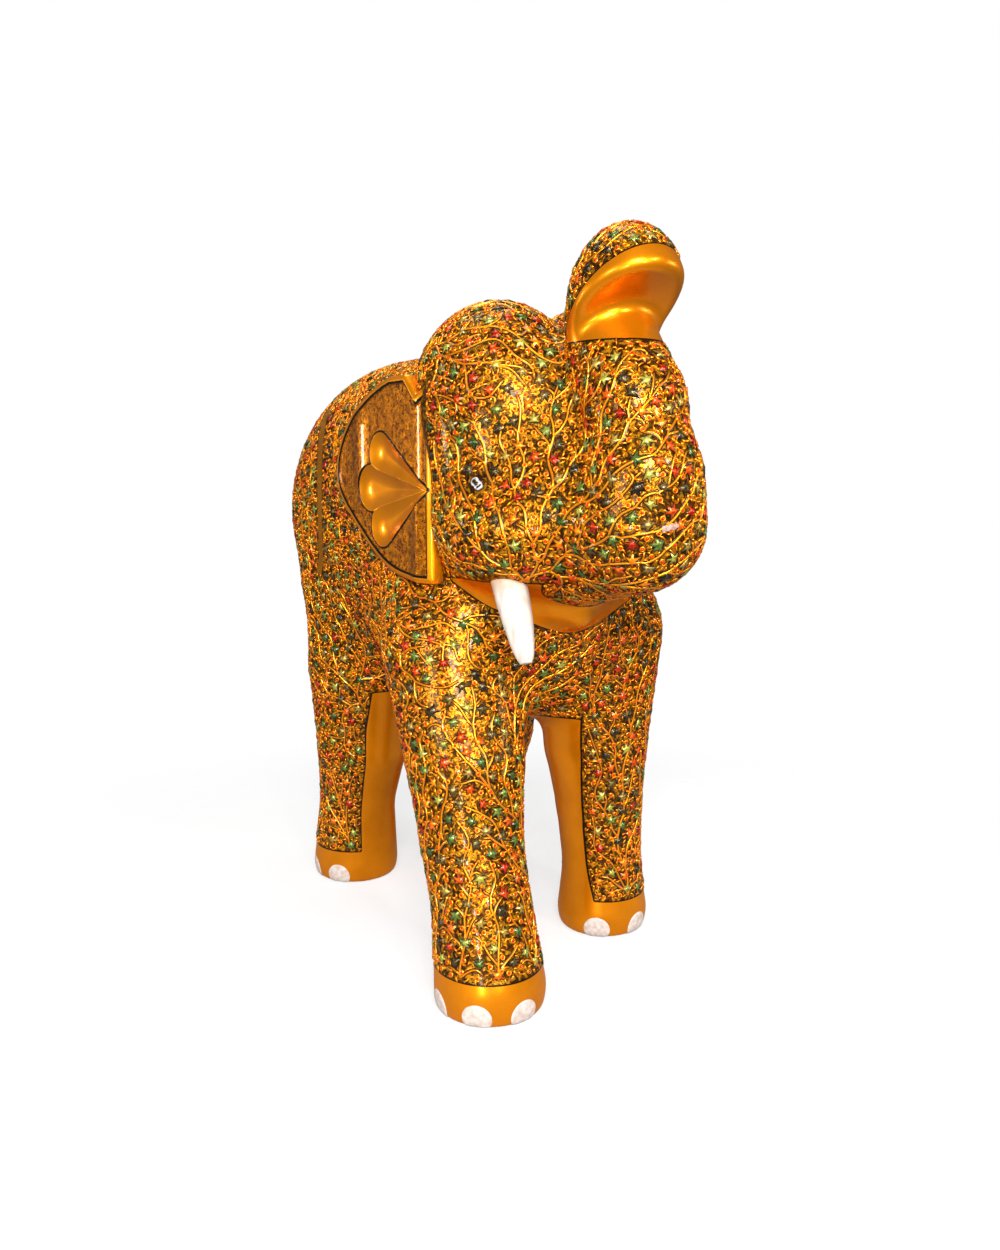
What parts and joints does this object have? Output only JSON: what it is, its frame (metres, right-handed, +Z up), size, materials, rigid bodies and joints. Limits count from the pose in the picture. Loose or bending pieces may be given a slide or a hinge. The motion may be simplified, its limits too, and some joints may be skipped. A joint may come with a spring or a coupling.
{
  "type": "carved wooden elephant figurine",
  "caption": "Carved wooden elephant walking with its trunk curled up, lacquered gold and painted all over with leaves and vines, with carved ears and a white tusk.",
  "frame": {"origin": "on the ground, under the middle of the bounding box", "axes": "the elephant faces -Y, its right side is -X, +Z is up"},
  "size_m": [0.1336, 0.2799, 0.295],
  "materials": {
    "painted_wood": "gold lacquer with raised vines and painted leaves, glossy",
    "ear_gold": "gold-brown lacquer with fine black scrollwork, glossy",
    "plain_gold": "plain metallic gold lacquer, glossy",
    "tusk_white": "matte off-white",
    "nail_white": "matte pinkish white",
    "eye_silver": "silver-white paint, satin",
    "bare_wood": "bare beech, unfinished"
  },
  "bodies": {
    "root": {"torso": "painted_wood", "head": "painted_wood", "trunk": "painted_wood", "leg_front_right": "painted_wood", "leg_front_left": "painted_wood", "leg_hind_right": "painted_wood", "leg_hind_left": "painted_wood", "ear_right": "ear_gold", "ear_left": "ear_gold", "tusk_right": "tusk_white", "eye_right": "eye_silver", "eye_left": "eye_silver", "tail": "plain_gold", "toenails_front_right": "nail_white", "toenails_front_left": "nail_white", "toenails_hind_right": "nail_white", "toenails_hind_left": "nail_white", "leg_dowels": "bare_wood", "neck_dowels": "bare_wood", "trunk_dowel": "bare_wood", "ear_pins": "bare_wood", "tail_peg": "bare_wood"}
  },
  "joints": []
}
